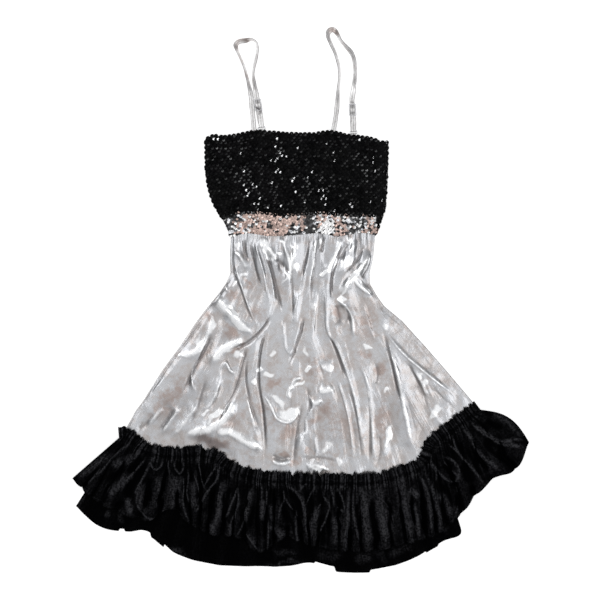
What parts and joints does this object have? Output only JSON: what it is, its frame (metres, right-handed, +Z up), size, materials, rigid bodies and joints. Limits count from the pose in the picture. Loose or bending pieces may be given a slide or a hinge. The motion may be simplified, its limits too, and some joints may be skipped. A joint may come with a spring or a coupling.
{
  "type": "sequin mini dress",
  "caption": "Mini dress laid flat, with thin adjustable straps, a sequinned bodice and waistband, a gathered silver skirt and a deep gathered black ruffle at the hem.",
  "frame": {"origin": "on the surface the dress lies on, under the middle of its outline, with the front facing up", "axes": "+X to the right of the dress as it is seen laid out, +Y towards the straps, +Z up from the surface"},
  "size_m": [0.6842, 0.813, 0.0153],
  "materials": {
    "black_sequin": "glossy black sequins on stretch net",
    "silver_sequin": "glossy silver sequins on stretch net",
    "silver_lame": "metallic silver stretch cloth with a liquid shine",
    "black_satin": "soft sheen",
    "fitting": "polished"
  },
  "bodies": {
    "root": {"band_back": "silver_sequin", "band_front": "silver_sequin", "bodice_back": "black_sequin", "bodice_front": "black_sequin", "ring_left": "fitting", "ring_right": "fitting", "ruffle_back": "black_satin", "ruffle_front": "black_satin", "skirt_back": "silver_lame", "skirt_front": "silver_lame", "slider_left": "fitting", "slider_right": "fitting", "strap_left": "silver_lame", "strap_right": "silver_lame", "tab_left": "silver_lame", "tab_right": "silver_lame"}
  },
  "joints": []
}
